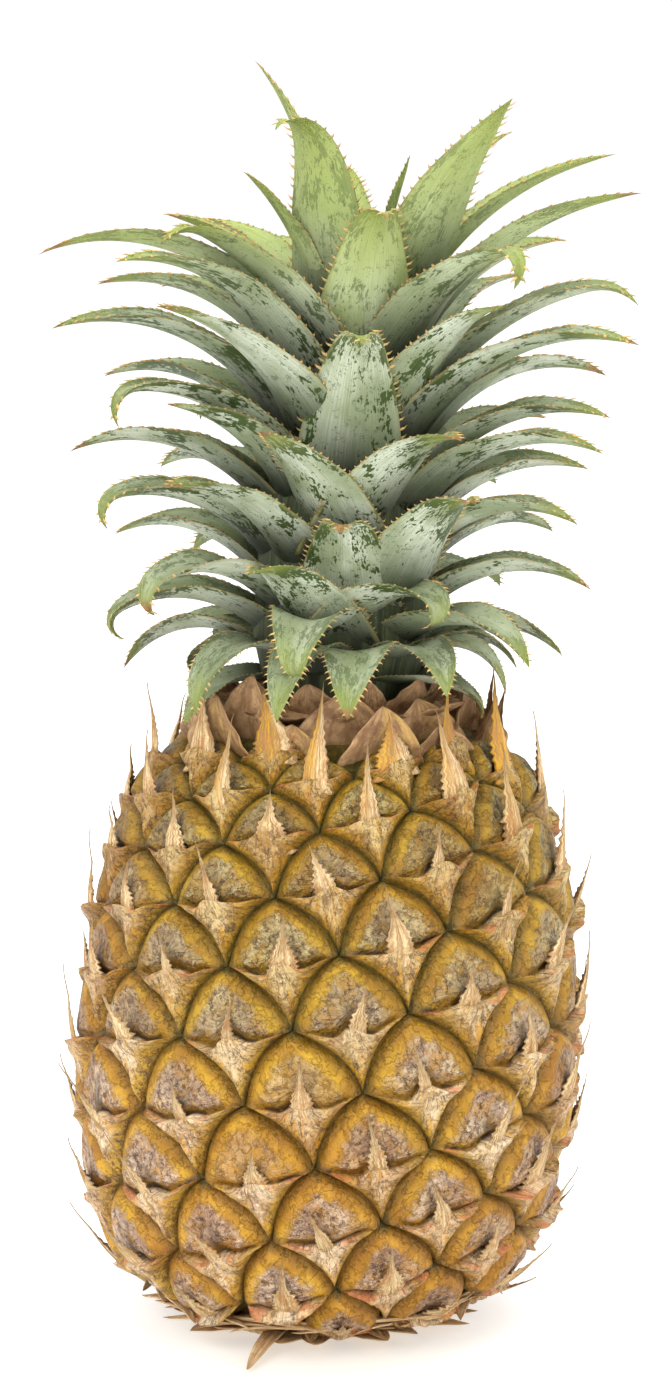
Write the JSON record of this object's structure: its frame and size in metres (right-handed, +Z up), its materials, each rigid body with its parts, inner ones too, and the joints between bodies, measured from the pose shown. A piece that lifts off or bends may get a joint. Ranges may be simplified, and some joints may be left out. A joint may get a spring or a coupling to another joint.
{
  "type": "pineapple",
  "caption": "Whole ripe pineapple with its leafy crown, standing upright on its cut base, with golden eyes in spiral rows and spiny grey-green leaves.",
  "frame": {"origin": "centre of the stalk's cut face, on the surface that the pineapple stands on", "axes": "+Z up from the base to the crown, -Y towards the viewer (the front), +X to the viewer's right"},
  "size_m": [0.1393, 0.131, 0.2983],
  "materials": {
    "rind": "firm golden rind with a waxy sheen on the eyes",
    "leaf": "stiff grey-green leaf with a silvery bloom",
    "neck_scale": "dry brown papery scales",
    "base_bract": "dry straw-coloured papery bracts",
    "stalk_end": "rough fibrous cut end"
  },
  "bodies": {
    "root": {"fruit": "rind", "crown": "leaf", "neck_scales": "neck_scale", "base_bracts": "base_bract", "stalk": "stalk_end"}
  },
  "joints": []
}
